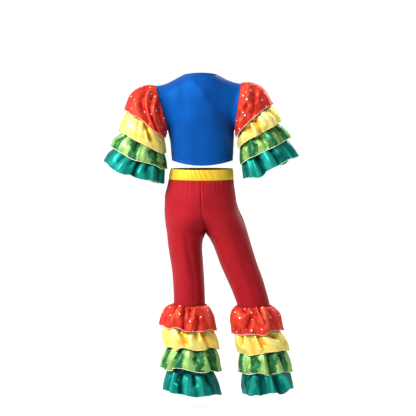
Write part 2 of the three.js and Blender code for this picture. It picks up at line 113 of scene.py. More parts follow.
SLEEVE_TIERS = dict(
    left=[
        tier("red", 0, 7, 6, 0.4, (252, -82, 119, -176, 84),
             puffs=((187, -3, 114, -152, 72), (232, -30, 116, -164, 84))),
        tier("yellow", 0.33, 7, 7, 1.9, (274, -152, 118, -227, 86), 7),
        tier("green", 0.62, 7, 8, 3.1, (300, -202, 116, -280, 92), 8),
        tier("teal", 0.95, 7, 8, 5.2, (324, -252, 123, -328, 96), 6),
    ],
    right=[
        tier("red", 0, 7, 6, 2.2, (234, -60, 117, -176, 84),
             puffs=((163, 9, 112, -152, 72), (208, -15, 114, -164, 84))),
        tier("yellow", 0.33, 7, 7, 0.9, (260, -120, 122, -213, 86), 9),
        tier("green", 0.62, 7, 8, 4.4, (289, -168, 129, -265, 90), 7),
        tier("teal", 0.95, 7, 8, 2.9, (320, -226, 141, -312, 94), 4),
    ],
)
LEG_TIERS = dict(
    left=[
        tier("red", -734, 8, 6, 0.7, (140, -803, -49, -822, 94),
             puffs=((108, -738, -23, -741, 68), (130, -763, -39, -771, 86))),
        tier("yellow", -785, 8, 6, 2.6, (124, -874, -58, -883, 91), 7),
        tier("green", -855, 8, 8, 4.1, (137, -942, -66, -959, 100), 3),
        tier("teal", -935, 8, 7, 5.6, (128, -1024, -64, -1040, 95), 6, 24),
    ],
    right=[
        tier("red", -738, 8, 6, 1.3, (274, -822, 104, -832, 87),
             puffs=((240, -742, 110, -745, 68), (261, -767, 98, -771, 84))),
        tier("yellow", -795, 8, 6, 3.3, (294, -886, 121, -894, 87), 7),
        tier("green", -865, 8, 7, 0.2, (303, -953, 126, -968, 90), 4),
        tier("teal", -938, 8, 7, 4.8, (308, -1020, 141, -1037, 86), 4, 7),
    ],
)
SWAY = 0.15                  # radians by which a ruffle's waves wander round it
UNDER_WAVING = 0.2           # share of the waves' height where the ruffle above covers it
SLEEVE_INNER_SHARE, LEG_INNER_SHARE = 0.25, 0.8      # and on the side next to the body

# ---------------- small helpers


def mix(a, b, share):
    return a + (b - a) * share


def step(low, high, value):
    """A smooth step from 0 at low to 1 at high."""
    t = np.clip((value - low) / (high - low), 0, 1)
    return t * t * (3 - 2 * t)


def unit(vectors):
    return vectors / np.maximum(np.linalg.norm(vectors, axis=-1, keepdims=True), 1e-9)


def between(place, places, rows):
    """The row of values at a place between the rows, which stand at places that rise."""
    return np.array([np.interp(place, places, column) for column in np.transpose(rows)])


def through(knots, values, places):
    """A smooth curve through rows of values that stand at the knots."""
    knots = np.asarray(knots, float)
    values = np.asarray(values, float)
    slopes = np.gradient(values, knots, axis=0)
    places = np.clip(places, knots[0], knots[-1])
    k = np.clip(np.searchsorted(knots, places, side="right") - 1, 0, len(knots) - 2)
    width = knots[k + 1] - knots[k]
    t = (places - knots[k]) / width
    shape = (-1,) + (1,) * (values.ndim - 1)
    t, width = t.reshape(shape), width.reshape(shape)
    return (
        values[k] * (2 * t**3 - 3 * t**2 + 1) + values[k + 1] * (3 * t**2 - 2 * t**3)
        + slopes[k] * width * (t**3 - 2 * t**2 + t) + slopes[k + 1] * width * (t**3 - t**2)
    )


def ring_points(rings, angle, grow=0.0):
    """Points of rings (rows) at angles (columns): 0 is the outer point and half a turn the inner one."""
    rings = np.atleast_2d(rings)
    middle = (rings[:, 0:2] + rings[:, 2:4]) / 2
    half = (rings[:, 0:2] - rings[:, 2:4]) / 2
    stretch = 1 + grow / np.hypot(half[:, 0], half[:, 1])[:, None]
    x = middle[:, 0, None] + half[:, 0, None] * stretch * np.cos(angle)
    y = (rings[:, 4, None] + grow) * np.sin(angle)
    z = middle[:, 1, None] + half[:, 1, None] * stretch * np.cos(angle)
    return np.stack([x, y, z], axis=-1)


def rings_along(rings, share):
    """The rings at shares of a tube's length, and that length."""
    steps = np.linalg.norm(np.diff(rings[:, :5], axis=0), axis=1)
    knots = np.concatenate([[0], np.cumsum(steps)]) / steps.sum()
    return through(knots, rings, share), steps.sum()


def ring_axes(rings):
    """Directions in which the tube runs on, down and away from each ring's plane."""
    rings = np.atleast_2d(rings)
    return unit(np.stack([rings[:, 1] - rings[:, 3], 0 * rings[:, 0], rings[:, 2] - rings[:, 0]], axis=-1))


def grid_normals(points, closed):
    """Unit normals of a grid of points (rows, columns, 3)."""
    down = np.gradient(points, axis=0)
    if closed:
        across = (np.roll(points, -1, axis=1) - np.roll(points, 1, axis=1)) / 2
    else:
        across = np.gradient(points, axis=1)
    return unit(np.cross(across, down))


def outward(points, closed):
    """Normals of a grid, turned away from the tube's or panel's inside."""
    normals = grid_normals(points, closed)
    middle = points.mean(axis=1, keepdims=True) * np.array([1, 0, 1])
    if np.sum(normals * (points - middle)) < 0:
        normals = -normals
    return normals


def raised(points, heights, closed):
    """A grid moved outwards by its heights."""
    return points + outward(points, closed) * heights[..., None]


def relaxed(points, rounds):
    """A grid of points with its inner part smoothed; its edges stay."""
    points = points.copy()
    for _ in range(rounds):
        around = (points[:-2, 1:-1] + points[2:, 1:-1] + points[1:-1, :-2] + points[1:-1, 2:]) / 4
        points[1:-1, 1:-1] = mix(points[1:-1, 1:-1], around, 0.6)
    return points


def ripple(rng, angle, low, high):
    """An uneven wave that closes on itself, made of low to high waves a turn. Its size is about 1."""
    counts = np.arange(low, high + 1)
    sizes = rng.uniform(0.4, 1.0, len(counts))
    phases = rng.uniform(0, TAU, len(counts))
    total = sum(s * np.cos(n * angle + p) for n, s, p in zip(counts, sizes, phases))
    return total / math.sqrt(np.sum(sizes**2) / 2) / 1.4


def crumple(rng, angle, down, low, high, terms=14):
    """Soft uneven dents: low to high of them round the tube and about as wide down the cloth."""
    total = 0
    for _ in range(terms):
        count = rng.integers(low, high + 1)
        tall = rng.uniform(0.25, 0.8) * high
        total = total + np.cos(count * angle + rng.choice([-1, 1]) * tall * down + rng.uniform(0, TAU))
    return total / math.sqrt(terms / 2) / 1.4


# ---------------- meshes


def arc_lengths(points, axis):
    """Lengths along a grid's rows or columns, from 0, at each point."""
    steps = np.linalg.norm(np.diff(points, axis=axis), axis=-1)
    zero = np.zeros_like(np.take(steps, [0], axis=axis))
    return np.concatenate([zero, np.cumsum(steps, axis=axis)], axis=axis)


def new_object(name, points, faces):
    """A smooth mesh object from points in millimetres."""
    mesh = bpy.data.meshes.new(name)
    mesh.from_pydata((points.reshape(-1, 3) * MM).tolist(), [], faces)
    mesh.polygons.foreach_set("use_smooth", np.ones(len(faces), bool))
    obj = bpy.data.objects.new(name, mesh)
    bpy.context.scene.collection.objects.link(obj)
    return obj


def lay_out(obj, places):
    """A UV map, in metres of cloth, from places across and down the cloth in millimetres."""
    layer = obj.data.uv_layers.new(name="cloth")
    layer.data.foreach_set("uv", (places.reshape(-1) * MM).astype(np.float32))


def corners_of(rows, columns):
    """The row and the column of each corner of a grid's faces: two arrays of faces by four."""
    r, c = np.meshgrid(np.arange(rows), np.arange(columns), indexing="ij")
    return r.ravel()[:, None] + np.array([0, 0, 1, 1]), c.ravel()[:, None] + np.array([0, 1, 1, 0])


def grid_mesh(name, points, closed, thickness=CLOTH):
    """A sheet of cloth from a grid of points (rows down the cloth, columns across it)."""
    rows, columns = points.shape[:2]
    around = np.concatenate([points, points[:, :1]], axis=1) if closed else points
    across = np.broadcast_to(arc_lengths(around, 1).mean(axis=0), around.shape[:2])
    down = arc_lengths(around, 0)
    r, c = corners_of(rows - 1, columns if closed else columns - 1)
    faces = r * columns + c % columns
    places = np.stack([across[r, c], down[r, c]], axis=-1)
    if np.sum(grid_normals(points, closed) * outward(points, closed)) < 0:
        faces, places = faces[:, ::-1], places[:, ::-1]
    obj = new_object(name, points, faces.tolist())
    lay_out(obj, places)
    shell = obj.modifiers.new("thickness", "SOLIDIFY")
    shell.thickness = thickness * MM
    shell.offset = 0
    return obj


def tube_mesh(name, path, radius, sides=6):
    """A round thread along a closed path of points."""
    ahead = unit(np.roll(path, -1, axis=0) - np.roll(path, 1, axis=0))
    side = unit(np.cross(ahead, np.array([0.0, 0.0, 1.0])))
    over = np.cross(side, ahead)
    turns = np.arange(sides) / sides * TAU
    points = np.stack([path + radius * (math.cos(t) * side + math.sin(t) * over) for t in turns])
    columns = len(path)
    r, c = corners_of(sides, columns)
    length = arc_lengths(np.concatenate([path, path[:1]]), 0)
    obj = new_object(name, points, (r % sides * columns + c % columns).tolist())
    lay_out(obj, np.stack([length[c], r / sides * TAU * radius], axis=-1))
    return obj


def stitch_mesh(name, path, normals, pitch=2.7, length=1.9, radius=0.28):
    """A row of stitches along a path, each one a short thread that is pointed at both ends."""
    places = arc_lengths(path, 0)
    middles = np.arange(pitch, places[-1] - pitch, pitch)
    corners, faces = [], []
    for middle in middles:
        start, end = [between(middle + way * length / 2, places, path) for way in (-1, 1)]
        out = between(middle, places, normals)
        side = np.cross(unit(end - start), out)
        centre = between(middle, places, path) + out * radius
        first = len(corners)
        corners += [start, end, centre + out * radius, centre + side * radius, centre - out * radius,
                    centre - side * radius]
        for k in range(4):
            one, two = first + 2 + k, first + 2 + (k + 1) % 4
            faces += [(first, one, two), (first + 1, two, one)]
    return new_object(name, np.array(corners), faces)


def line_on(points, normals, heights, height):
    """The line on a grid where its rows' heights reach one height, column by column, with normals."""
    columns = range(points.shape[1])
    path, out = [np.array([between(height, heights[:, c], grid[:, c]) for c in columns])
                 for grid in (points, normals)]
    return path, unit(out)


def dress(obj, material, nodes=()):
    """Gives a piece its finish and its place in the frame."""
    obj.data.materials.append(material)
    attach(obj, "root")
    if nodes:
        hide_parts(*nodes)
    return obj


def make_cloth(name, points, closed, material, thickness=CLOTH):
    """A panel or tube of cloth that replaces the solid of that name."""
    return dress(grid_mesh(f"{name}_cloth", points, closed, thickness), material, [name])


# ---------------- materials


class Nodes:
    """The nodes of a material or a world, one call a node."""

    def __init__(self, owner):
        owner.use_nodes = True
        self.tree = owner.node_tree

    def node(self, kind, inputs=None, **settings):
        made = self.tree.nodes.new(kind)
        for key, value in settings.items():
            setattr(made, key, value)
        for key, value in (inputs or {}).items():
            self.put(made.inputs[key], value)
        return made

    def put(self, socket, value):
        if isinstance(value, bpy.types.NodeSocket):
            self.tree.links.new(value, socket)
        else:
            socket.default_value = value

    def cloth_place(self, across=1.0, down=1.0):
        """The place on the cloth, in metres, scaled."""
        uv = self.node("ShaderNodeUVMap", uv_map="cloth")
        made = self.node("ShaderNodeMapping", {"Vector": uv.outputs["UV"], "Scale": (across, down, 1)})
        return made.outputs[0]

    def noise(self, place, scale, detail=2.0, rough=0.5):
        made = self.node("ShaderNodeTexNoise", {
            "Vector": place, "Scale": scale, "Detail": detail, "Roughness": rough})
        return made.outputs["Fac"]

    def ramp(self, factor, *stops):
        made = self.node("ShaderNodeValToRGB", {"Fac": factor})
        band = made.color_ramp
        while len(band.elements) < len(stops):
            band.elements.new(0.5)
        for element, (position, colour) in zip(band.elements, stops):
            element.position = position
            element.color = (*colour, 1)
        return made.outputs["Color"]

    def fade(self, factor, low, high):
        """0 up to low, 1 from high on."""
        return self.ramp(factor, (low, (0, 0, 0)), (high, (1, 1, 1)))

    def wave(self, place, scale, distortion, direction="DIAGONAL", detail_scale=1.0):
        made = self.node("ShaderNodeTexWave", {
            "Vector": place, "Scale": scale, "Distortion": distortion, "Detail": 1.0,
            "Detail Scale": detail_scale}, wave_type="BANDS", bands_direction=direction)
        return made.outputs["Fac"]

    def math(self, operation, a, b=0.0):
        made = self.node("ShaderNodeMath", operation=operation)
        self.put(made.inputs[0], a)
        self.put(made.inputs[1], b)
        return made.outputs[0]

    def line(self, value, factor, start):
        """The value times the factor, and the start added."""
        return self.math("ADD", self.math("MULTIPLY", value, factor), start)

    def mix(self, factor, a, b, blend="MIX"):
        made = self.node("ShaderNodeMix", data_type="RGBA", blend_type=blend)
        self.put(made.inputs["Factor"], factor)
        for socket, colour in zip(made.inputs[6:8], (a, b)):
            self.put(socket, colour if isinstance(colour, bpy.types.NodeSocket) else (*colour, 1))
        return made.outputs[2]

    def bump(self, height, strength, distance, below=None):
        made = self.node("ShaderNodeBump", {"Height": height, "Strength": strength, "Distance": distance})
        if below is not None:
            self.put(made.inputs["Normal"], below)
        return made.outputs["Normal"]


class Shader(Nodes):
    """A material with one surface."""

    def __init__(self, name):
        self.material = bpy.data.materials.new(name)
        super().__init__(self.material)

    def set(self, **values):
        """Sets or links the surface's values, and gives the material."""
        surface = self.tree.nodes["Principled BSDF"]
        for key, value in values.items():
            self.put(surface.inputs[key.replace("_", " ")], value)
        return self.material


def linear(hex_colour):
    """Scene-linear colour of a display colour such as 0xD02030."""
    parts = [(hex_colour >> shift & 255) / 255 for shift in (16, 8, 0)]
    return tuple(p / 12.92 if p <= 0.04045 else ((p + 0.055) / 1.055) ** 2.4 for p in parts)


def shade(colour, factor):
    return tuple(min(c * factor, 1.0) for c in colour)


def satin(name, colour, painted_shade_tint, painted_highlight_tint, pattern=None, gloss=0.44, metal=0.4, crush=0.3, painted_patch_light=2.0,
          contrast=0.5):
    """Satin: a tinted shine along the floats of the weave, faint slubs, a fine twill, crushed dents.

    Its second and third colours multiply its colour as painted shade in the troughs of its folds and as
    painted highlight on their crests, fully where contrast is 0.5 and the folds are at full depth, and as
    painted highlight and shade in small random patches between them, standing in for light on crushed satin.
    """
    s = Shader(name)
    place = s.cloth_place()
    base = pattern(s, place, colour) if pattern else colour
    streaks = s.noise(s.cloth_place(900, 60), 1.0, 2.0, 0.6)
    fold_shade = s.node("ShaderNodeAttribute", {}, attribute_name="fold_shade").outputs["Fac"]
    # painted highlight and painted shade in small random patches, standing in for light on crushed satin
    painted_patches = s.line(s.noise(s.cloth_place(1.0, 0.7), 62, 3.0, 0.6), painted_patch_light, -painted_patch_light / 2)
    # painted shade in the troughs of the folds and painted highlight on their tops, from the heights kept on
    # the cloth
    uneven = s.math("ADD", s.line(fold_shade, contrast, 0.5), painted_patches)
    depth = s.ramp(uneven, (0.0, painted_shade_tint), (0.5, (1, 1, 1)), (1.0, painted_highlight_tint))
    ground = s.mix(1.0, base, depth, "MULTIPLY")
    ground = s.mix(s.math("MULTIPLY", streaks, 0.10), ground, shade(colour, 0.6))
    normal = s.bump(s.wave(place, 130.0, 0.6), 0.10, 0.00015)
    normal = s.bump(streaks, 0.4, 0.0002, normal)
    normal = s.bump(s.noise(s.cloth_place(1.0, 0.8), 46), crush, 0.003, normal)
    return s.set(
        Base_Color=ground, Roughness=s.line(streaks, 0.14, gloss - 0.07), Metallic=metal, Normal=normal,
        Anisotropic=0.4, Specular_IOR_Level=0.25, Specular_Tint=(*shade(colour, 1.8), 1),
        Sheen_Weight=0.08, Sheen_Roughness=0.35, Sheen_Tint=(*shade(colour, 1.6), 1))


DOT_SPACING, DOT_RADIUS = 0.041, 0.0023      # metres
MELON_PAIR = 0.064                           # metres from a dark stripe to the next


def dotted(s, place, colour):
    """Small white printed dots, unevenly spaced."""
    cells = s.node("ShaderNodeTexVoronoi", {
        "Vector": place, "Scale": 1 / DOT_SPACING, "Randomness": 0.75}, feature="F1",
        voronoi_dimensions="2D")
    reach = DOT_RADIUS / DOT_SPACING
    outside = s.fade(cells.outputs["Distance"], reach * 0.8, reach * 1.15)
    return s.mix(outside, (0.93, 0.86, 0.82), colour)


def melon(s, place, colour):
    """Melon rind: dark stripes down the cloth with ragged sides, and pale flesh-green between them."""
    across = s.node("ShaderNodeSeparateXYZ", {"Vector": place}).outputs["X"]
    broad = s.line(s.noise(s.cloth_place(), 26, 1.0, 0.4), 0.040, -0.020)
    ragged = s.line(s.noise(s.cloth_place(1.0, 1.4), 75, 1.0, 0.5), 0.014, -0.007)
    wandering = s.math("ADD", across, s.math("ADD", broad, ragged))
    stripe = s.math("SINE", s.math("MULTIPLY", wandering, TAU / MELON_PAIR))
    blotch = s.noise(s.cloth_place(1.0, 0.7), 70, 2.0, 0.6)
    dark = s.mix(s.fade(blotch, 0.42, 0.62), linear(0x14522E), linear(0x2F7449))
    light = s.mix(s.fade(blotch, 0.45, 0.7), linear(0x8CB065), linear(0x6F9E50))
    return s.mix(s.fade(s.line(stripe, 0.5, 0.5), 0.44, 0.58), dark, s.mix(0.12, light, linear(0x3F8A38)))


def knit(name, colour, shine, gloss, metal, spec):
    """Satin-faced stretch knit: soft shine, fine ribs of stitches down the cloth."""
    s = Shader(name)
    place = s.cloth_place()
    tone = s.ramp(s.noise(place, 9), (0.3, (0.92, 0.92, 0.92)), (0.7, (1.06, 1.06, 1.06)))
    grain = s.noise(s.cloth_place(1500, 900), 1.0, 2.0, 0.6)
    ground = s.mix(1.0, colour, tone, "MULTIPLY")
    ground = s.mix(s.math("MULTIPLY", grain, 0.12), ground, shade(colour, 0.55))
    normal = s.bump(s.wave(place, 190.0, 0.8, "X", 3.0), 0.12, 0.0002)
    normal = s.bump(grain, 0.15, 0.0002, normal)
    normal = s.bump(s.noise(place, 38), 0.22, 0.001, normal)
    return s.set(
        Base_Color=ground, Roughness=s.line(grain, 0.12, gloss - 0.06), Metallic=metal, Normal=normal,
        Specular_IOR_Level=spec, Specular_Tint=(*shine, 1),
        Sheen_Weight=0.1, Sheen_Roughness=0.45, Sheen_Tint=(*shade(colour, 2.0), 1))


THREAD_PITCH = 0.0016        # metres between the turns of a thread
TURNS_SCALE = TAU / 60 / THREAD_PITCH


def thread(name, colour):
    """Overlock or sewing thread: slanted turns along its length."""
    s = Shader(name)
    turns = s.wave(s.cloth_place(), TURNS_SCALE, 1.5)
    return s.set(Base_Color=s.mix(turns, shade(colour, 0.78), colour), Roughness=0.6,
                 Normal=s.bump(turns, 0.6, 0.0004), Sheen_Weight=0.3)


# Each satin: its colour, the tint of its painted shade in the troughs of its folds, and the tint of its
# painted highlight on their tops.
RUFFLE_CLOTH = dict(
    red=satin("red_dotted_satin", (0.52, 0.034, 0.020), (0.72, 0.45, 0.55), (1.15, 2.0, 1.8), dotted),
    yellow=satin("yellow_satin", (0.68, 0.55, 0.13), (1.15, 0.70, 0.16), (1.12, 1.16, 1.7), painted_patch_light=0.9),
    green=satin("melon_satin", (0.2, 0.3, 0.08), (0.6, 0.68, 0.5), (1.2, 1.15, 1.3), melon, contrast=0.6),
    teal=satin("teal_satin", (0.005, 0.17, 0.14), (0.3, 0.42, 0.42), (3.0, 1.7, 1.7), gloss=0.42,
               metal=0.5, painted_patch_light=1.7, contrast=0.9),
)
EDGE_COLOURS = dict(red=0xF2B3B0, yellow=0xF5E29A, green=0xE9E6C4, teal=0xC8DDD6)
EDGE_THREAD = {under: thread(f"edge_on_{under}", linear(tone)) for under, tone in EDGE_COLOURS.items()}
BLUE = knit("blue_satin_knit", (0.003, 0.052, 0.235), (0.01, 0.4, 0.7), gloss=0.5, metal=0.1, spec=0.12)
TROUSER = knit("red_satin_knit", (0.265, 0.009, 0.014), (0.6, 0.1, 0.12), gloss=0.55, metal=0.05, spec=0.15)
BAND_FINISH = knit("waistband_cloth", (0.58, 0.38, 0.03), (1.0, 0.8, 0.2), gloss=0.45, metal=0.15, spec=0.2)
BLUE_THREAD = thread("blue_thread", linear(0x0D4AA0))

# ---------------- main creases and hems
#
# A crease: across, down, to across, to down, width, depth. across runs over the back from 0, the
# ruffle's outer side, to 100, its inner side. down runs from 0, the seam, to 100, the hem. width and
# depth are in millimetres, and a trough has a negative depth.
# A hem rises and falls: across, and how far it runs below its solid's plain hem, in millimetres.


def folded(*creases, hem):
    """The rows of one ruffle."""
    return dict(creases=creases, hem=hem)


FOLDS = dict(
    sleeve_left_red=folded(
        (8, 25, 58, 95, 10, -5), (14, 20, 72, 92, 6, 5), (30, 10, 88, 88, 6, 5), (24, 14, 80, 92, 5, -4),
        (40, 4, 78, 26, 8, -5), (10, 48, 38, 96, 9, 4), (22, 62, 28, 96, 16, 3), (3, 30, 8, 70, 10, -3),
        hem=((0, 2), (15, 0), (39, -5), (57, -3), (73, 2), (90, 1), (100, 0))),
    sleeve_left_yellow=folded(
        (60, 34, 70, 70, 12, -8), (51, 30, 55, 46, 7, -5), (54, 42, 62, 78, 5, 4), (64, 80, 86, 68, 7, 3),
        (20, 38, 20, 90, 20, 3), (36, 40, 40, 90, 10, -2), (90, 50, 93, 95, 5, 3), (95, 50, 97, 95, 5, -4),
        hem=((0, -3), (19, 0), (41, 2), (65, 4), (83, 5), (96, 3), (100, -2))),
    sleeve_left_green=folded(
        (42, 34, 45, 72, 8, -5), (22, 40, 15, 92, 11, 4), (62, 40, 60, 92, 12, 4), (50, 36, 51, 100, 3, 2),
        (86, 82, 98, 86, 6, -4), (80, 35, 86, 75, 10, -4), (10, 35, 5, 70, 9, -4),
        hem=((0, 0), (8, 4), (25, 7), (45, 10), (67, 4), (80, 0), (95, 3), (100, -2))),
    sleeve_left_teal=folded(
        (53, 34, 52, 100, 5, -8), (35, 50, 30, 92, 11, 5), (62, 40, 60, 85, 9, 4), (78, 48, 80, 96, 9, 5),
        (88, 48, 92, 96, 8, -5), (15, 40, 12, 92, 13, 3), (44, 36, 42, 66, 8, -4), (24, 36, 21, 70, 8, -3),
        (70, 36, 70, 70, 8, -4),
        hem=((0, 1), (12, 11), (28, 15), (39, 15), (48, 10), (55, 13), (67, 9), (84, 2), (100, 1))),
    sleeve_right_red=folded(
        (8, 22, 36, 34, 9, 6), (36, 34, 58, 18, 8, 5), (5, 44, 26, 70, 6, 3), (22, 50, 50, 92, 16, -4),
        (48, 36, 62, 44, 9, -6), (50, 56, 76, 58, 8, 5), (76, 30, 86, 80, 7, 4), (66, 10, 84, 34, 7, -5),
        (2, 24, 5, 60, 6, -4),
        hem=((0, 5), (22, -5), (47, -10), (67, -10), (87, -9), (100, -2))),
    sleeve_right_yellow=folded(
        (68, 34, 66, 66, 11, -7), (60, 30, 55, 96, 9, 6), (48, 30, 43, 98, 8, -7), (25, 38, 20, 92, 18, 4),
        (84, 48, 86, 92, 9, 3), (76, 40, 78, 92, 7, -3), (36, 36, 33, 80, 10, 4), (12, 50, 8, 90, 5, -2),
        hem=((0, 2), (12, 1), (27, 0), (49, -3), (68, -7), (84, -8), (100, -1))),
    sleeve_right_green=folded(
        (50, 34, 45, 92, 10, -5), (35, 40, 30, 92, 13, 5), (70, 38, 72, 96, 12, 5), (60, 34, 61, 66, 8, -3),
        (16, 36, 14, 90, 9, -4), (85, 36, 84, 90, 9, -4), (8, 40, 5, 90, 9, 3),
        hem=((0, 8), (12, 8), (23, 6), (45, 2), (67, -1), (80, -5), (100, 1))),
    sleeve_right_teal=folded(
        (22, 34, 12, 100, 4, 4), (50, 44, 50, 94, 16, 7), (70, 34, 66, 100, 8, -10), (85, 44, 86, 97, 6, 6),
        (30, 44, 30, 62, 11, 5), (38, 36, 36, 94, 9, -6), (94, 40, 94, 95, 6, -4), (76, 36, 77, 95, 8, 4),
        hem=((0, 5), (6, 9), (19, 4), (38, 6), (58, 8), (66, 9), (70, 15), (91, 2), (100, 0))),
    leg_left_red=folded(
        (19, 4, 20, 36, 8, -5), (25, 10, 22, 78, 9, 4), (40, 4, 43, 96, 8, -7), (34, 10, 34, 62, 8, 4),
        (56, 14, 57, 46, 10, -5), (64, 18, 62, 52, 9, 5), (62, 52, 54, 95, 9, 4), (72, 48, 68, 95, 10, -5),
        (84, 14, 90, 90, 10, 4), (8, 30, 5, 90, 9, -3), (48, 30, 49, 60, 8, 3),
        hem=((0, -1), (14, -1), (36, -6), (46, -1), (55, 2), (65, 0), (78, -6), (88, -8), (100, 0))),
    leg_left_yellow=folded(
        (33, 30, 35, 50, 7, -6), (42, 34, 40, 86, 11, -7), (50, 28, 52, 46, 10, -6),
        (56, 45, 52, 86, 11, 4), (64, 34, 68, 62, 8, -6), (70, 28, 71, 66, 6, 5), (79, 28, 83, 98, 7, -7),
        (20, 38, 18, 90, 15, 3), (92, 40, 94, 92, 9, 3),
        hem=((0, 2), (7, -3), (17, -1), (22, 2), (31, -9), (44, -6), (57, -2), (72, -5), (86, -10),
             (100, 2))),
    leg_left_green=folded(
        (28, 32, 20, 84, 8, -6), (34, 34, 27, 95, 9, 4), (58, 34, 60, 62, 11, -4), (72, 38, 80, 95, 10, 5),
        (79, 34, 87, 96, 10, -7), (12, 40, 8, 95, 9, 3), (46, 40, 46, 95, 13, 3), (17, 80, 16, 100, 6, -6),
        hem=((0, 2), (13, 4), (17, -1), (24, -10), (35, -12), (46, -7), (60, -4), (77, -7), (89, -6),
             (100, 2))),
    leg_left_teal=folded(
        (18, 36, 14, 90, 7, 5), (29, 32, 31, 97, 7, -8), (37, 40, 36, 62, 6, 5), (44, 46, 43, 95, 11, 6),
        (56, 32, 57, 62, 6, -6), (68, 40, 70, 95, 14, 4), (82, 32, 90, 97, 8, -8), (24, 36, 23, 60, 5, -4),
        (10, 60, 7, 95, 6, -3),
        hem=((0, -2), (16, -3), (28, -6), (36, -3), (61, -2), (77, -5), (86, -9), (100, 0))),
    leg_right_red=folded(
        (60, 12, 75, 52, 9, 5), (57, 38, 72, 92, 9, -6), (53, 54, 66, 98, 8, 4), (44, 6, 37, 62, 7, 5),
        (38, 10, 34, 62, 7, -5), (28, 8, 32, 82, 9, 5), (13, 28, 14, 68, 15, -4), (78, 4, 68, 24, 7, -6),
        (93, 28, 86, 92, 9, -4), (88, 22, 80, 72, 9, 4), (50, 10, 48, 50, 6, -4),
        hem=((0, -1), (19, -10), (31, -8), (39, 1), (48, 0), (57, -3), (68, -6), (81, -2), (100, 0))),
    leg_right_yellow=folded(
        (86, 28, 87, 72, 11, -8), (77, 34, 80, 80, 6, 4), (95, 40, 92, 80, 6, 4), (57, 34, 54, 86, 6, 4),
        (49, 28, 47, 76, 11, -8), (66, 45, 65, 96, 10, -3), (38, 48, 20, 72, 11, 4),
        (24, 28, 20, 46, 11, -6), (13, 34, 8, 66, 7, 4),
        hem=((0, 2), (16, -6), (31, -7), (44, -5), (60, 0), (75, 2), (89, 2), (100, -3))),
    leg_right_green=folded(
        (42, 32, 39, 98, 9, -7), (52, 38, 50, 95, 10, 4), (18, 36, 13, 100, 8, -9), (28, 38, 25, 95, 10, 5),
        (80, 34, 78, 72, 12, -4), (92, 40, 90, 92, 10, 3), (66, 36, 67, 90, 10, 3),
        hem=((0, 8), (9, 2), (15, -10), (21, -6), (30, -3), (41, 2), (57, -8), (71, -9), (85, -6),
             (100, -5))),
    leg_right_teal=folded(
        (73, 34, 84, 95, 8, 7), (60, 36, 62, 95, 14, -8), (41, 34, 40, 100, 4, 6), (31, 44, 28, 96, 9, -8),
        (22, 32, 9, 90, 9, 7), (94, 38, 93, 92, 7, -5), (50, 40, 50, 80, 8, 3), (82, 34, 90, 48, 5, -4),
        hem=((0, -2), (5, -5), (17, 0), (27, 1), (35, -6), (46, -5), (59, -3), (85, -1), (100, 0))),
)
FRONT_SHARE = 0.9            # the hidden side has like creases, in the opposite order and this deep
CREASE_GAIN = 1.9            # how much deeper a crease is than its row says, because neighbours merge
CREASE_SHAPE = 1.5           # power by which its height falls with the distance from its line


def crease_offset(rows, angle, down, ring_reach, height):
    """Heights of the creases over the grid, in millimetres."""
    total = np.zeros(np.broadcast(angle, down).shape)
    turned = (angle + math.pi) % TAU - math.pi
    for face_side in (BACK, FRONT):
        faced = turned * face_side
        for *places, width, depth in rows:
            across0, down0, across1, down1 = [place / 100 for place in places]
            if face_side == FRONT:
                across0, across1, depth = 1 - across0, 1 - across1, depth * FRONT_SHARE
            ends = [math.acos(1 - 2 * across) * ring_reach for across in (across0, across1)]
            start = np.array([ends[0], down0 * height])
            along = np.array([ends[1], down1 * height]) - start
            u = faced * ring_reach - start[0]
            w = down * height - start[1]
            t = np.clip((u * along[0] + w * along[1]) / max(along @ along, 1e-9), 0, 1)
            far = np.hypot(u - t * along[0], w - t * along[1])
            total = total + CREASE_GAIN * depth * np.exp(-np.abs(far / width) ** CREASE_SHAPE)
    return total


def hem_drop(rows, angle):
    """How far the hem is drawn down at each angle. The front has the back's curve, turned about."""
    across = (1 - np.cos(angle)) / 2
    places, drops = np.array(rows, float).T
    uneven = drops[0] - drops[-1]
    back = through(places / 100, drops, across)
    front = through(places / 100, drops, 1 - across) + mix(uneven, -uneven, across)
    return np.where(np.sin(angle) >= 0, back, front)


# ---------------- ruffles

TIER_COLUMNS, TIER_ROWS = 264, 34
ROW_SPACING = 1.15           # above 1, the rows lie closer together at the seam
WAVE_SHARE = 0.75            # height of the solid's waves here, where the folds come on top
HEM_SWAY = 1.2               # rise and fall of the hem with the waves, where the hem's own comes on top
SEAM_LIFT, SEAM_SINK = 2.3, 2.6      # a leg ruffle's seam is laid so far off the leg, then sunk so deep
ARMHOLE_SINK = 0.4
ARMHOLE_SHIFT = 0.2, 1.2     # along the sleeve, at the shoulder and at the armpit
SEAM_FADE, LEG_FADE, SINK_FADE = 0.05, 0.06, 0.03    # shares of the height that these moves reach
GATHERS = 32                 # gathers at the seam, all round
GATHER_HEIGHT, SOFT_HEIGHT, DENT_HEIGHT, FLUTTER_HEIGHT = 2.6, 1.3, 0.8, 0.6
INNER_CREASES = 0.55         # depth of the creases on the inner side
CREASE_REACH = 0.9           # height of the cloth that down covers, as a share of the whole
SEAM_TROUGH, TROUGH_GROWTH = 0.6, 70     # a trough's most at the seam, and how it may grow below
FOLD_DEPTH = 9               # height of the folds whose tops get the full painted highlight and whose troughs get the full painted shade


def reach_of(r):
    return math.hypot(r[0] - r[2], r[1] - r[3]) / 2


def tucked(r, outer, inner):
    """A ring with its outer and inner point moved towards each other."""
    along = (r[2:4] - r[0:2]) / (2 * reach_of(r))
    return np.array([*(r[0:2] + along * outer), *(r[2:4] - along * inner), r[4] - outer])


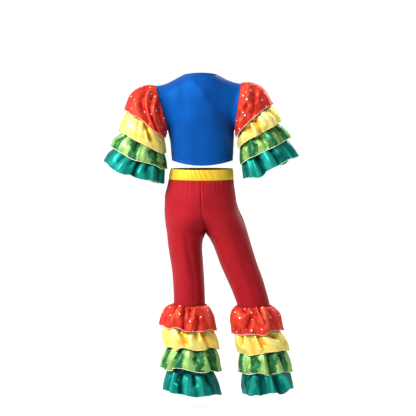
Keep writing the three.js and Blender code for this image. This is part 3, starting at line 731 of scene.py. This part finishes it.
def tier_rings(t, seam_ring, above, inner_share):
    """Rings of a ruffle from seam to hem, each with its share of the wave height."""
    seam = tucked(seam_ring, -WALL - SEAM_GAP, -WALL - SEAM_GAP)
    if len(t["puffs"]):
        rings = [seam, *t["puffs"], t["hem"]]
        return np.array([[*r, w] for r, w in zip(rings, (0, 0.3, 0.6, 1))])
    under = tucked(above["hem"], above["height"] + t["tuck"], above["height"] * inner_share + t["tuck"])
    bulge = tucked(mix(under, t["hem"], 0.55), -t["bulge"], -t["bulge"] * inner_share)
    return np.array([[*r, w] for r, w in zip((seam, under, bulge, t["hem"]), (0, UNDER_WAVING, 0.65, 1))])


def lowness(angle):
    """How near an angle of the armhole is to the armpit."""
    return ((1 - np.cos(angle)) / 2) ** 3


def tier_grid(t, rings, by_hand, side, inner_share, at_armhole, seed, seam_depths):
    """The ruffle's cloth: the solid's form and waves, with gathers, folds and a fluttering hem.

    It gives the points, and how far each is up on a ridge (to 1) or down in a trough (to -1), which sets the
    cloth's painted highlight and painted shade.
    """
    rng = np.random.default_rng(seed)
    share = np.linspace(0, 1, TIER_ROWS) ** ROW_SPACING
    rows, length = rings_along(rings, share)
    turn = np.arange(TIER_COLUMNS) / TIER_COLUMNS * TAU
    angle = turn + SWAY * np.sin(2 * turn + t["phase"])
    room = mix(inner_share, 1, (1 + np.cos(angle)) / 2)
    swell = 0.82 + 0.18 * np.sin(3 * turn + 2 * t["phase"])
    wave = swell * np.cos(t["waves"] * turn + t["phase"]) * room
    waving = np.clip(rows[:, 5:6], 0, 1)
    low = lowness(angle) if at_armhole else 0
    down = share[:, None]
    at_seam = np.exp(-down / SEAM_FADE)
    points = ring_points(rows[:, :5], angle, wave * WAVE_SHARE * t["height"] * waving + low * at_seam)
    shift = wave * HEM_SWAY * step(0.5, 1, down)
    shift = shift + hem_drop(by_hand["hem"], angle) * step(0.3, 1, down)
    if at_armhole:
        shift = shift + mix(*ARMHOLE_SHIFT, low) * at_seam
    points = points + ring_axes(rows[:, :5])[:, None, :] * shift[..., None]
    if seam_depths:
        depth = np.where(np.sin(turn) > 0, *seam_depths)
        points[..., 1] *= mix(1, (depth + SEAM_LIFT) / rings[0, 4], np.exp(-((down / LEG_FADE) ** 2)))
    sink = (ARMHOLE_SINK if at_armhole else SEAM_SINK) * np.exp(-((down / SINK_FADE) ** 2))
    points = raised(points, -sink, True)
    reach = (reach_of(t["hem"]) + t["hem"][4]) / 2
    creases = crease_offset(by_hand["creases"], angle, down, reach, length * CREASE_REACH)
    folds = fold_heights(rng, turn, down, room) + creases * mix(INNER_CREASES, 1, room)
    folds = np.maximum(folds, -SEAM_TROUGH - TROUGH_GROWTH * down)
    points = raised(points, folds, True)
    return points * np.array([side, 1, 1]), np.clip(folds / FOLD_DEPTH, -1, 1)


def fold_heights(rng, turn, down, room):
    """Gathers at the seam, soft folds that run on from them, dents, and the hem's flutter."""
    sway = 0.5 * ripple(rng, turn, 2, 5)
    pleats = np.abs(np.cos(GATHERS / 2 * turn + 2.2 * sway)) - 0.6
    lengths = 0.11 + 0.18 * step(-1, 1.2, ripple(rng, turn, 5, 12))
    gathers = GATHER_HEIGHT * pleats * (1 - np.exp(-down / 0.035)) * np.exp(-((down / lengths) ** 1.5))
    lean = 0.35 * ripple(rng, turn, 1, 3) * down
    soft = np.tanh(1.1 * ripple(rng, turn + lean, 7, 13)) * step(0.05, 0.35, down) * (1 - 0.3 * down)
    dents = crumple(rng, turn, down * 1.6, 4, 11) * step(0.08, 0.3, down) * (1 - step(0.8, 1.0, down) * 0.5)
    flutter = ripple(rng, turn, 7, 13) * step(0.7, 1, down)
    small = SOFT_HEIGHT * soft + DENT_HEIGHT * dents + FLUTTER_HEIGHT * flutter
    return gathers + small * np.sqrt(room)


def make_tier(name, carrier, t, *form):
    """A ruffle's cloth and its edge. form is what tier_grid takes after the tier."""
    points, folds = tier_grid(t, *form)
    cloth = make_cloth(name, points, True, RUFFLE_CLOTH[t["colour"]])
    # heights of the folds, kept on the cloth for its painted shade in troughs and painted highlight on
    # ridges
    layer = cloth.data.attributes.new("fold_shade", "FLOAT", "POINT")
    layer.data.foreach_set("value", folds.astype(np.float32).ravel())
    edge = dress(tube_mesh(name + "_edge", points[-1], EDGE_RADIUS), EDGE_THREAD[t["colour"]])


def sleeve_stations(side_name):
    return np.array([ARMHOLE[side_name], *SLEEVE[side_name]])


def sleeve_ring(side_name, share):
    stations = sleeve_stations(side_name)
    place = share * (len(stations) - 1)
    first = min(int(place), len(stations) - 2)
    return mix(stations[first], stations[first + 1], place - first)


def leg_ring(side_name, z):
    """The leg's ring at a height, and its depths at the back and the front."""
    rows = trouser_rows(side_name)
    _, outer, inner, back, front, _, _ = between(-z, -rows[:, 0], rows)
    return ring(outer, z, inner, z, max(back, front)), (back, front)


def make_tiers(limb, side_name, side):
    """The ruffles of a limb, from the uppermost down."""
    on_arm = limb == "sleeve"
    inner_share = SLEEVE_INNER_SHARE if on_arm else LEG_INNER_SHARE
    carrier = f"sleeve_{side_name}" if on_arm else f"trousers_{side_name}_back"
    seed = (5 if on_arm else 100) + side
    above = None
    for k, t in enumerate((SLEEVE_TIERS if on_arm else LEG_TIERS)[side_name]):
        if on_arm:
            seam_ring, depths = sleeve_ring(side_name, t["seam"]), None
        else:
            seam_ring, depths = leg_ring(side_name, t["seam"])
        rings = tier_rings(t, seam_ring, above, inner_share)
        name = f'{limb}_{side_name}_tier_{k + 1}_{t["colour"]}'
        by_hand = FOLDS[f'{limb}_{side_name}_{t["colour"]}']
        make_tier(name, carrier, t, rings, by_hand, side, inner_share, on_arm and k == 0, seed + 10 * k,
                  depths)
        above = t


for side_name, side in SIDES.items():
    make_tiers("sleeve", side_name, side)
    make_tiers("leg", side_name, side)

# ---------------- sleeves proper

SLEEVE_ROWS, SLEEVE_COLUMNS = 36, 96
SLEEVE_SHIFT = 0.2, -0.6     # along the sleeve, at the shoulder and at the armpit
SLEEVE_SINK = 1.2            # how far the sleeve's end lies under the red ruffle's at the shoulder


def make_sleeve(side_name, side):
    share = np.linspace(0, 1, SLEEVE_ROWS)
    down = share[:, None]
    angle = np.arange(SLEEVE_COLUMNS) / SLEEVE_COLUMNS * TAU
    rings, _ = rings_along(sleeve_stations(side_name), share)
    points = ring_points(rings, angle)
    shift = mix(*SLEEVE_SHIFT, lowness(angle)) * np.exp(-down / SEAM_FADE)
    points = points + ring_axes(rings)[:, None, :] * shift[..., None]
    sink = SLEEVE_SINK * (1 - lowness(angle)) * np.exp(-down / LEG_FADE)
    points = raised(points, -sink, True)
    cloth = make_cloth(f"sleeve_{side_name}", points * np.array([side, 1, 1]), True, BLUE)


for side_name, side in SIDES.items():
    make_sleeve(side_name, side)

# ---------------- top

ARMPIT_ROW = 0.4             # the armpits' row, where 0 is the hem and 1 the shoulders


def half_top(face, side_name, reach, row):
    """Points of half a top panel. reach is from 0, the middle, to 1, the side; row is as above."""
    up = np.clip(row / ARMPIT_ROW, 0, 1)[:, None]
    rise = (np.clip((row - ARMPIT_ROW) / (1 - ARMPIT_ROW), 0, 1) * math.pi / 2)[:, None]
    half_width = through([0, 0.5, 1], TOP_HALF_WIDTHS[side_name], up[:, 0])[:, None]
    edge = ring_points(ARMHOLE[side_name], math.pi - 2 * rise[:, 0])[0][:, None]
    round_ = (1 - reach**TOP["roundness"]) ** (1 / TOP["roundness"])
    low_y = mix(face["hem_depth"], face["chest_depth"], step(0, 1.0, up)) * round_
    low_z = mix(TOP["hem_z"] - face["hem_drop"] * (1 - reach**2), TOP["armpit_z"], up)
    neck_round = np.sqrt(np.clip(1 - (reach / TOP["neck_reach"]) ** 2, 0, 1))
    slope = np.maximum(reach - TOP["neck_reach"], 0) / (1 - TOP["neck_reach"])
    top_y = face["neck_depth"] * neck_round
    top_z = mix(TOP["neck_z"] - face["neck_drop"] * neck_round, ARMHOLE[side_name][1], slope)
    body_y = top_y + (face["chest_depth"] * round_ - top_y) * np.cos(rise) ** face["arch"]
    body_z = mix(TOP["armpit_z"], top_z, np.sin(rise))
    low = (row <= ARMPIT_ROW)[:, None]
    x = np.where(low, half_width * reach, reach * edge[..., 0]) * SIDES[side_name]
    y = np.where(low, low_y, mix(body_y, np.abs(edge[..., 1]), reach**3)) * face["side"]
    z = np.where(low, low_z, mix(body_z, edge[..., 2], reach**3))
    return np.stack([x, y, z], axis=-1)


def top_points(face, share, row):
    """Points of a top panel. share is from -1, the right edge, to 1."""
    left = share >= 0
    halves = half_top(face, "right", -share[~left], row), half_top(face, "left", share[left], row)
    return np.concatenate(halves, axis=1)


def top_columns(count):
    """Columns across a top panel, closer together at the neck's corners and the sides."""
    neck_turn = math.asin(TOP["neck_reach"])
    shoulder = np.sin(np.linspace(neck_turn, math.pi / 2, count))[1:]
    neck = TOP["neck_reach"] * np.sin(np.linspace(-math.pi / 2, math.pi / 2, count))
    return np.concatenate([-shoulder[::-1], neck, shoulder])


HEM_FOLD, NECK_FOLD = 9, 6   # the top's hem and neck are folded in this far and stitched
FOLD_GROOVE, GROOVE_WIDTH = 0.9, 1.8     # depth and half width of the dip along the hem's stitches
SIDE_DIP, SIDE_SHARE = 0.4, 0.05         # a panel dips so far at its sides, over this share of it
HEM_RIPPLE = 0.7             # height of the soft waves near the hem
TOP_COLUMNS, TOP_ROWS = 36, 110
RELAXING = 260               # rounds of smoothing, which leave no kink at the armpits

# Soft ridges where the back pushes the cloth out. x, z, to x, to z, width, height
BACK_RIDGES = (
    (32, 12, -6, -30, 17, 3.0), (-6, -30, -34, -92, 18, 3.6), (82, -12, 74, -112, 18, 3.2),
    (94, -132, -45, -104, 36, 4.0), (-88, -30, -84, -110, 20, 1.6), (20, -150, 14, -235, 26, -1.8),
    (66, -232, 20, -200, 14, 1.2), (-52, -238, -86, -170, 14, 1.3),
)


def ridge(x, z, x0, z0, x1, z1, width, height):
    """Height of a soft ridge along a straight line between two points of a panel."""
    along_x, along_z = x1 - x0, z1 - z0
    t = np.clip(((x - x0) * along_x + (z - z0) * along_z) / (along_x**2 + along_z**2), 0, 1)
    far = np.hypot(x - x0 - t * along_x, z - z0 - t * along_z)
    return height * np.exp(-((far / width) ** 2))


def stitches_along(name, points, normals, heights, level):
    """A row of stitches where the rows' heights reach a level, on the outside of the cloth."""
    path, out = line_on(points, normals, heights, level)
    row_of_stitches = stitch_mesh(name, path + out * CLOTH / 2, out)
    return dress(row_of_stitches, BLUE_THREAD)


def make_top(face_name):
    face = TOP_FACE[face_name]
    share = top_columns(TOP_COLUMNS)
    points = relaxed(top_points(face, share, np.linspace(0, 1, TOP_ROWS)), RELAXING)
    x, z = points[..., 0], points[..., 2]
    rng = np.random.default_rng(40 + face["side"])
    swell = sum(ridge(x, z, *row) for row in (BACK_RIDGES if face_name == "back" else ()))
    swell = swell + HEM_RIPPLE * crumple(rng, x / 60, z / 60, 1, 3) * step(-250, -230, z)
    edge = np.minimum(1 - np.abs(share), SIDE_SHARE) / SIDE_SHARE
    swell -= SIDE_DIP * (1 - edge)[None, :] ** 2
    swell -= FOLD_GROOVE * np.exp(-(((arc_lengths(points, 0) - HEM_FOLD) / GROOVE_WIDTH) ** 2))
    points = raised(points, swell, False)
    points[..., 1] = np.maximum(points[..., 1] * face["side"], MIDDLE_ROOM) * face["side"]
    name = f"top_{face_name}"
    cloth = make_cloth(name, points, False, BLUE)
    normals = outward(points, False)
    heights = arc_lengths(points, 0)
    inner = slice(2, -2)
    at_neck = np.abs(share) < TOP["neck_reach"] * 0.99
    below_neck = heights - heights[-1:]
    threads = [
        stitches_along(f"{name}_hem_stitches", points[:, inner], normals[:, inner], heights[:, inner],
                       HEM_FOLD),
        stitches_along(f"{name}_neck_stitches", points[:, at_neck], normals[:, at_neck],
                       below_neck[:, at_neck], -NECK_FOLD),
    ]


make_top("back")
make_top("front")

# ---------------- trousers


def trouser_points(side_name, face_name, turn, z):
    table = trouser_rows(side_name)
    rows = through(-table[:, 0], table, -z)
    _, outer, inner, back, front, close, gather = [rows[:, k][:, None] for k in range(7)]
    close = np.clip(close, 0, 1)
    depth = back if face_name == "back" else front
    end = math.pi / 2 * (1 + close)
    radius = (outer - inner) / (1 - np.cos(end))
    angle = turn[None, :] * end
    x = outer - radius + radius * np.cos(angle)
    y = depth * np.sin(angle)
    droop = BAND["droop"] * np.clip(gather, 0, 1) * np.sin(angle) if face_name == "back" else 0
    return np.stack([x, y, z[:, None] - droop + 0 * x], axis=-1)


# Soft folds over the seat and down the legs; a trough has a negative height, and the front has like
# folds. x, z, to x, to z, width, height
TROUSER_FOLDS = (
    (108, -372, 14, -378, 20, 2.6), (96, -412, 16, -424, 20, -2.2), (70, -446, 12, -484, 12, -2.0),
    (67, -500, 44, -618, 11, 2.2), (50, -510, 30, -620, 9, -1.8), (84, -560, 70, -700, 14, -1.4),
    (26, -640, 22, -716, 7, -1.6), (-22, -384, -84, -392, 20, 1.6), (-20, -452, -70, -478, 13, -1.8),
    (-50, -498, -128, -664, 12, 2.4), (-32, -520, -104, -668, 8, -1.8), (-98, -462, -156, -616, 13, -1.8),
    (-128, -600, -170, -720, 10, 1.6), (-140, -660, -166, -730, 8, -1.6),
)
TROUSER_TOP, TROUSER_END = -313.6, -945      # z of the waist seam and of the lowest ruffle's seam
TROUSER_ROWS, TROUSER_COLUMNS = 170, 56
WAIST_GATHERS, WAIST_GATHER_HEIGHT = 11, 2.2     # on each panel, under the waistband
TROUSER_RIPPLE = 1.3         # height of the soft uneven dents
SEAM_DIP, SEAM_SHARE = 0.25, 0.02    # a panel dips so far at its seams, over this share of it


def make_trousers(side_name, side, face_name):
    face_side = BACK if face_name == "back" else FRONT
    z = np.linspace(TROUSER_TOP, TROUSER_END, TROUSER_ROWS)
    turn = np.linspace(0, 1, TROUSER_COLUMNS)
    points = trouser_points(side_name, face_name, turn, z)
    rng = np.random.default_rng(60 + 3 * side + face_side)
    below = (TROUSER_TOP - z)[:, None]
    across = turn[None, :] * math.pi
    lengths = 26 + 22 * step(-1, 1, ripple(rng, 2 * across, 3, 8))
    gathers = np.abs(np.cos(WAIST_GATHERS * across + 1.2 * ripple(rng, 2 * across, 1, 4))) - 0.6
    swell = gathers * WAIST_GATHER_HEIGHT * np.exp(-((below / lengths) ** 1.5))
    for row in TROUSER_FOLDS:
        swell = swell + ridge(points[..., 0] * side, points[..., 2], *row)
    swell = swell + TROUSER_RIPPLE * crumple(rng, across / 2, below / 90, 1, 4) * step(10, 60, below)
    edge = np.minimum(np.minimum(turn, 1 - turn), SEAM_SHARE) / SEAM_SHARE
    swell = swell * np.sqrt(edge)[None, :] - SEAM_DIP * (1 - edge)[None, :] ** 2
    points = raised(points, swell, False)
    points[..., 1] = np.maximum(points[..., 1], MIDDLE_ROOM)
    points[..., 0] -= SEAM_GAP * np.exp(-(((1 - turn) / SEAM_SHARE) ** 2))
    points = points * np.array([side, face_side, 1])
    name = f"trousers_{side_name}_{face_name}"
    cloth = make_cloth(name, points, False, TROUSER)


for side_name, side in SIDES.items():
    for face_name in ("back", "front"):
        make_trousers(side_name, side, face_name)

# ---------------- waistband

BAND_COLUMNS, BAND_ROWS = 400, 16
BAND_PLEATS, BAND_PLEAT_HEIGHT, BAND_SLANT = 28, 2.0, 0.14
BAND_ROLL, BAND_INSET = 1.2, 0.6             # it bulges so far between its edges, which lie lower


def make_waistband():
    turn = np.arange(BAND_COLUMNS) / BAND_COLUMNS * TAU
    share = np.linspace(0, 1, BAND_ROWS)[:, None]
    size = {key: mix(BAND_TOP[key], BAND_BOTTOM[key], share) for key in BAND_TOP}
    half_width = np.where(np.cos(turn) > 0, size["left"], size["right"])
    depth = np.where(np.sin(turn) > 0, size["back"], size["front"])
    rng = np.random.default_rng(7)
    slanted = turn + BAND_SLANT * (1 - share)
    pleats = np.abs(np.cos(BAND_PLEATS / 2 * slanted + 2.2 * ripple(rng, slanted, 3, 9))) - 0.6
    strength = 0.35 + 0.65 * step(-0.6, 0.9, ripple(rng, turn, 2, 6))
    roll = np.sin(share * math.pi) ** 0.6
    swell = BAND_PLEAT_HEIGHT * pleats * strength * (0.35 + 0.65 * roll) + BAND_ROLL * roll - BAND_INSET
    z = mix(BAND["top_z"], BAND["bottom_z"], share) - BAND["droop"] * np.clip(np.sin(turn), 0, 1)
    points = np.stack([(half_width + swell) * np.cos(turn), (depth + swell) * np.sin(turn), z], axis=-1)
    cloth = make_cloth("waistband", points, True, BAND_FINISH, BAND_CLOTH)


make_waistband()

# ---------------- camera, light and floor

PIXEL = 3.35                 # millimetres of the object a pixel
FRAME_PIXELS = 416
FLOOR_Z = -1084              # under the soles of the wearer's shoes
FLOOR_REACH = 30000
VIEW_CENTRE = (-21.8, 0, -410.4)
CAMERA_DISTANCE = 4500
CAMERA_Z = -134
FLOOR_GREY, FLOOR_GLOW = 0.2, 0.86
WORLD_DIM = 0.12             # the air on the lamps' side, as a share of the air's white behind
# name, place in metres, size in metres, power in watts, height of its aim in metres
LAMPS = (
    ("key", (2.8, 2.5, 2.0), (1.7, 2.0), 430, -0.6),
    ("fill", (-3.2, 2.8, 0.2), (1.2, 2.4), 18, -0.6),
    ("front_key", (-2.2, -3.4, 1.6), (1.6, 2.2), 90, -0.5),
)


def stand(data, place, aim):
    """Stands a camera or a lamp at a place, in metres, and turns it to its aim."""
    obj = bpy.data.objects.new(data.name, data)
    bpy.context.scene.collection.objects.link(obj)
    way = np.array(aim, float) - np.array(place, float)
    obj.location = place
    obj.rotation_euler = (math.atan2(math.hypot(way[0], way[1]), -way[2]), 0,
                          math.atan2(way[1], way[0]) - math.pi / 2)
    return obj


def make_camera():
    data = bpy.data.cameras.new("camera")
    aim = np.array(VIEW_CENTRE) * MM
    place = np.array([VIEW_CENTRE[0], CAMERA_DISTANCE, CAMERA_Z]) * MM
    data.sensor_fit = "HORIZONTAL"
    data.angle = 2 * math.atan(FRAME_PIXELS * PIXEL * MM / 2 / np.linalg.norm(aim - place))
    data.clip_end = 100
    bpy.context.scene.camera = stand(data, place, aim)


def make_lamp(name, place, size, power, aim_z):
    data = bpy.data.lights.new(name, "AREA")
    data.shape = "RECTANGLE"
    data.size, data.size_y = size
    data.energy = power
    stand(data, place, (0, 0, aim_z))


def make_floor():
    corners = [(x * FLOOR_REACH, y * FLOOR_REACH, FLOOR_Z) for x, y in ((-1, -1), (1, -1), (1, 1), (-1, 1))]
    floor = new_object("floor", np.array(corners), [(0, 1, 2, 3)])
    floor.data.materials.append(Shader("floor_white").set(
        Base_Color=(FLOOR_GREY, FLOOR_GREY, FLOOR_GREY, 1), Roughness=0.8,
        Emission_Color=(1, 1, 1, 1), Emission_Strength=FLOOR_GLOW))


def make_world():
    """White studio air: full white behind the costume, dimmer on the side of the lamps.

    What the camera sees past the costume is a plain white backdrop on every side.
    """
    world = bpy.data.worlds.new("studio")
    bpy.context.scene.world = world
    s = Nodes(world)
    place = s.node("ShaderNodeTexCoord").outputs["Generated"]
    y = s.node("ShaderNodeSeparateXYZ", {0: place}).outputs["Y"]
    air = s.tree.nodes["Background"]
    air.inputs["Strength"].default_value = 1.0
    s.put(air.inputs["Color"], s.ramp(y, (0.0, (1, 1, 1)), (0.35, (WORLD_DIM, WORLD_DIM, WORLD_DIM))))
    backdrop = s.node("ShaderNodeBackground", {"Color": (1, 1, 1, 1)})
    seen = s.node("ShaderNodeLightPath").outputs["Is Camera Ray"]
    either = s.node("ShaderNodeMixShader", {0: seen, 1: air.outputs[0], 2: backdrop.outputs[0]})
    s.put(s.tree.nodes["World Output"].inputs["Surface"], either.outputs[0])


make_camera()
make_world()
for lamp in LAMPS:
    make_lamp(*lamp)
make_floor()
bpy.context.scene.view_settings.view_transform = "Standard"
